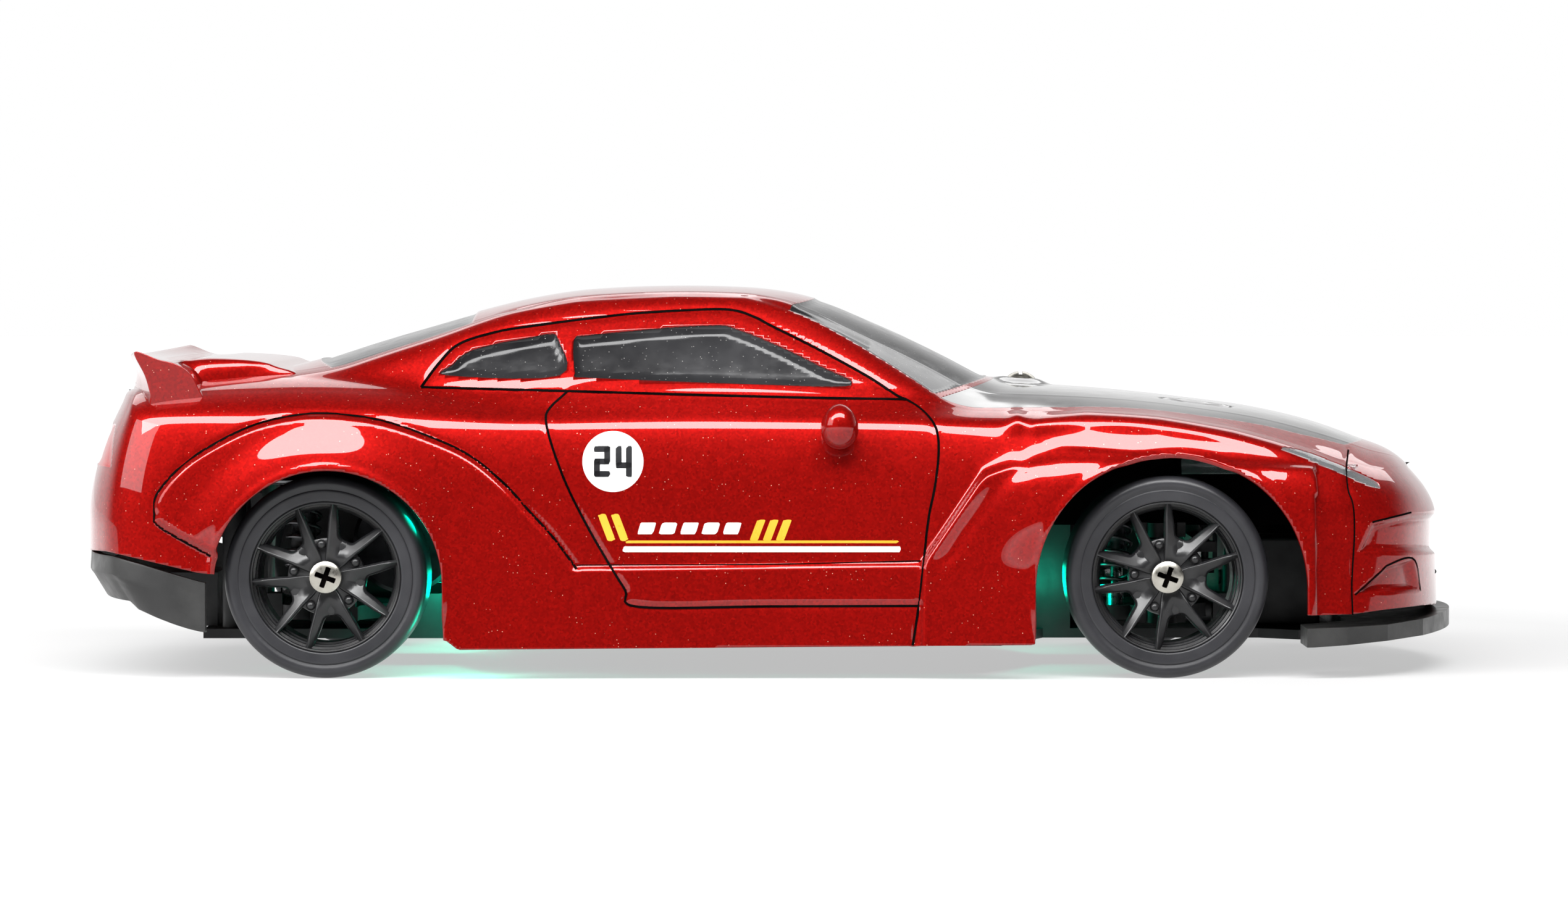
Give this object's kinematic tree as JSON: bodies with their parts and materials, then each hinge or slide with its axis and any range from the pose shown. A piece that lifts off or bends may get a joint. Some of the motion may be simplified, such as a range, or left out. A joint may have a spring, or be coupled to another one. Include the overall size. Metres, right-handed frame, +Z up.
{
  "type": "radio-controlled drift car",
  "caption": "Small-scale radio-controlled drift coupe with a moulded body, steering front wheels, sprung arms and a motor-driven rear axle.",
  "frame": {"origin": "on the ground under the middle of the car's bounding box", "axes": "+X to the nose, +Y to the car's left, +Z up"},
  "size_m": [0.2922, 0.1296, 0.0812],
  "materials": {
    "body_paint": "deep metallic red under clear gloss",
    "gloss_black": "gloss",
    "trim_black": "fine moulded grain",
    "window_tint": "dark tinted, moulded",
    "lamp_clear": "clear moulded",
    "lamp_red": "translucent red, gloss",
    "rim_black": "satin",
    "tyre_plastic": "smooth hard drift compound",
    "chassis_plastic": "satin moulded",
    "suspension_plastic": "satin moulded",
    "damper_aluminium": "satin",
    "axle_steel": "ground",
    "spring_steel": "drawn wire",
    "screw_nickel": "nickel plated",
    "motor_steel": "plated can",
    "gear_nylon": "unfilled nylon",
    "pinion_brass": "machined",
    "servo_plastic": "satin",
    "switch_red": "satin",
    "control_plastic": "satin",
    "battery_wrap": "shrink wrap",
    "underglow_lens": "diffusing, lit green"
  },
  "bodies": {
    "chassis": {"body_shell": "body_paint", "rear_wing": "body_paint", "rear_valance": "trim_black", "front_splitter": "trim_black", "nose_grille": "trim_black", "bonnet": "gloss_black", "wing_mirrors": "body_paint", "window_panes": "window_tint", "body_posts": "chassis_plastic", "body_screw": "screw_nickel", "chassis_tub": "chassis_plastic", "tower_front": "suspension_plastic", "tower_rear": "suspension_plastic", "damper_bodies": "damper_aluminium", "gear_case": "suspension_plastic", "motor_can": "motor_steel", "steering_servo": "servo_plastic", "battery_pack": "battery_wrap", "control_unit": "control_plastic", "switch_base": "servo_plastic", "underglow_lights": "underglow_lens", "headlight_left": "lamp_clear", "tail_light_left": "lamp_red", "headlight_right": "lamp_clear", "tail_light_right": "lamp_red"},
    "arm_front_left": {"arm_front_left": "suspension_plastic", "damper_rod_front_left": "axle_steel", "spring_front_left": "spring_steel"},
    "arm_rear_left": {"arm_rear_left": "suspension_plastic", "damper_rod_rear_left": "axle_steel", "spring_rear_left": "spring_steel", "hub_carrier_left": "suspension_plastic"},
    "knuckle_left": {"knuckle_left": "suspension_plastic", "wheel_screw_front_left": "screw_nickel"},
    "wheel_front_left": {"rim_front_left": "rim_black", "tyre_front_left": "tyre_plastic"},
    "wheel_rear_left": {"rim_rear_left": "rim_black", "tyre_rear_left": "tyre_plastic", "wheel_screw_rear_left": "screw_nickel", "rear_axle_left": "axle_steel"},
    "arm_front_right": {"arm_front_right": "suspension_plastic", "damper_rod_front_right": "axle_steel", "spring_front_right": "spring_steel"},
    "arm_rear_right": {"arm_rear_right": "suspension_plastic", "damper_rod_rear_right": "axle_steel", "spring_rear_right": "spring_steel", "hub_carrier_right": "suspension_plastic"},
    "knuckle_right": {"knuckle_right": "suspension_plastic", "wheel_screw_front_right": "screw_nickel"},
    "wheel_front_right": {"rim_front_right": "rim_black", "tyre_front_right": "tyre_plastic"},
    "wheel_rear_right": {"rim_rear_right": "rim_black", "tyre_rear_right": "tyre_plastic", "wheel_screw_rear_right": "screw_nickel", "rear_axle_right": "axle_steel"},
    "servo_horn": {"servo_horn": "gear_nylon"},
    "drag_link": {"drag_link": "suspension_plastic"},
    "differential": {"differential": "gear_nylon"},
    "motor_pinion": {"motor_pinion": "pinion_brass"},
    "switch_slider": {"switch_slider": "switch_red"}
  },
  "joints": [
    {"name": "arm_front_left_hinge", "type": "hinge", "parent": "chassis", "child": "arm_front_left", "pos_m": [0.082, 0.017, 0.012], "axis": [1, 0, 0], "range_deg": [-2.5, 2], "stiffness_Nm_per_rad": 3, "springref_deg": -0.82, "deforming": ["spring_front_left"]},
    {"name": "arm_rear_left_hinge", "type": "hinge", "parent": "chassis", "child": "arm_rear_left", "pos_m": [-0.092, 0.017, 0.012], "axis": [1, 0, 0], "range_deg": [-2.5, 2], "stiffness_Nm_per_rad": 3, "springref_deg": -0.82, "deforming": ["spring_rear_left"]},
    {"name": "steer_left", "type": "hinge", "parent": "arm_front_left", "child": "knuckle_left", "pos_m": [0.082, 0.04, 0.021], "axis": [0, 0, 1], "range_deg": [-25, 25]},
    {"name": "spin_front_left", "type": "hinge", "parent": "knuckle_left", "child": "wheel_front_left", "pos_m": [0.082, 0.049, 0.021], "axis": [0, 1, 0], "continuous": true},
    {"name": "spin_rear_left", "type": "hinge", "parent": "arm_rear_left", "child": "wheel_rear_left", "pos_m": [-0.092, 0.049, 0.021], "axis": [0, 1, 0], "continuous": true},
    {"name": "arm_front_right_hinge", "type": "hinge", "parent": "chassis", "child": "arm_front_right", "pos_m": [0.082, -0.017, 0.012], "axis": [-1, 0, 0], "range_deg": [-2.5, 2], "stiffness_Nm_per_rad": 3, "springref_deg": -0.82, "deforming": ["spring_front_right"]},
    {"name": "arm_rear_right_hinge", "type": "hinge", "parent": "chassis", "child": "arm_rear_right", "pos_m": [-0.092, -0.017, 0.012], "axis": [-1, 0, 0], "range_deg": [-2.5, 2], "stiffness_Nm_per_rad": 3, "springref_deg": -0.82, "deforming": ["spring_rear_right"]},
    {"name": "steer_right", "type": "hinge", "parent": "arm_front_right", "child": "knuckle_right", "pos_m": [0.082, -0.04, 0.021], "axis": [0, 0, 1], "range_deg": [-25, 25]},
    {"name": "spin_front_right", "type": "hinge", "parent": "knuckle_right", "child": "wheel_front_right", "pos_m": [0.082, -0.049, 0.021], "axis": [0, 1, 0], "continuous": true},
    {"name": "spin_rear_right", "type": "hinge", "parent": "arm_rear_right", "child": "wheel_rear_right", "pos_m": [-0.092, -0.049, 0.021], "axis": [0, 1, 0], "continuous": true},
    {"name": "drag_link_slide", "type": "slide", "parent": "chassis", "child": "drag_link", "axis": [0, 1, 0], "range_m": [-0.004, 0.004]},
    {"name": "servo_horn_turn", "type": "hinge", "parent": "chassis", "child": "servo_horn", "pos_m": [0.095, 0, 0.018], "axis": [1, 0, 0], "range_deg": [-26, 26]},
    {"name": "differential_spin", "type": "hinge", "parent": "chassis", "child": "differential", "pos_m": [-0.092, 0, 0.021], "axis": [0, 1, 0], "continuous": true},
    {"name": "pinion_spin", "type": "hinge", "parent": "chassis", "child": "motor_pinion", "pos_m": [-0.07722, 0, 0.02712], "axis": [0, 1, 0], "continuous": true},
    {"name": "power_switch", "type": "slide", "parent": "chassis", "child": "switch_slider", "axis": [1, 0, 0], "range_m": [0, 0.0034]}
  ],
  "couplings": [
    {"joint": "steer_right", "follows": "steer_left", "ratio": 1},
    {"joint": "drag_link_slide", "follows": "steer_left", "m_per_rad": 0.00885},
    {"joint": "servo_horn_turn", "follows": "steer_left", "ratio": -1},
    {"joint": "spin_rear_right", "follows": "spin_rear_left", "ratio": 1},
    {"joint": "differential_spin", "follows": "spin_rear_left", "ratio": 1},
    {"joint": "pinion_spin", "follows": "spin_rear_left", "ratio": -3}
  ]
}
